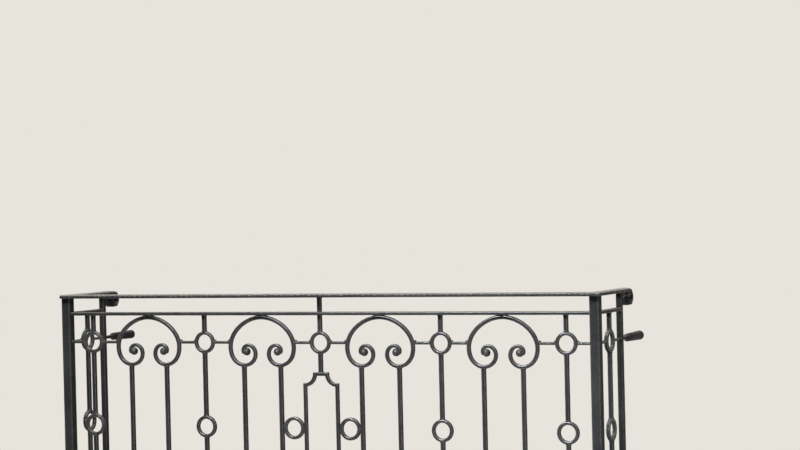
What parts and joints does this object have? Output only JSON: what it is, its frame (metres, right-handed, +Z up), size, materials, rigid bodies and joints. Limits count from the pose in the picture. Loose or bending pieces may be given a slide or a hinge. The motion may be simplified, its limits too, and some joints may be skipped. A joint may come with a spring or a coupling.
{
  "type": "wrought iron balcony",
  "caption": "Narrow wrought iron balcony: railing with scrolls, rings and square bars, rolled handrail ends and wall stays, standing on a thin moulded floor slab.",
  "frame": {"origin": "middle of the floor slab's back face, which lies against the wall", "axes": "+X to the right seen from the street, +Y into the wall, +Z up; the wall is the plane Y = 0"},
  "size_m": [1.66, 0.39, 1.09],
  "materials": {
    "painted_iron": "satin black paint on hammered wrought iron",
    "slab_stone": "matt pale limestone"
  },
  "bodies": {
    "root": {"floor_slab": "slab_stone", "corner_post_left": "painted_iron", "corner_post_right": "painted_iron", "back_post_left": "painted_iron", "back_post_right": "painted_iron", "handrail_front": "painted_iron", "handrail_left": "painted_iron", "handrail_right": "painted_iron", "upper_rail_front": "painted_iron", "upper_rail_left": "painted_iron", "upper_rail_right": "painted_iron", "lower_rail_front": "painted_iron", "lower_rail_left": "painted_iron", "lower_rail_right": "painted_iron", "upper_scroll_1": "painted_iron", "upper_scroll_2": "painted_iron", "upper_scroll_3": "painted_iron", "upper_scroll_4": "painted_iron", "lower_scroll_1": "painted_iron", "lower_scroll_2": "painted_iron", "lower_scroll_3": "painted_iron", "lower_scroll_4": "painted_iron", "baluster_pair_1": "painted_iron", "baluster_pair_2": "painted_iron", "baluster_pair_3": "painted_iron", "baluster_pair_4": "painted_iron", "ring_baluster_1": "painted_iron", "ring_baluster_2": "painted_iron", "ring_baluster_3": "painted_iron", "ring_baluster_4": "painted_iron", "centre_stem_upper": "painted_iron", "centre_stem_lower": "painted_iron", "centre_frame": "painted_iron", "centre_frame_rings": "painted_iron", "link_bars_upper": "painted_iron", "link_bars_lower": "painted_iron", "side_ring_baluster_left": "painted_iron", "side_ring_baluster_right": "painted_iron", "side_links_left": "painted_iron", "side_links_right": "painted_iron", "wall_stay_left": "painted_iron", "wall_stay_right": "painted_iron", "wall_anchor_left": "painted_iron", "wall_anchor_right": "painted_iron"}
  },
  "joints": []
}
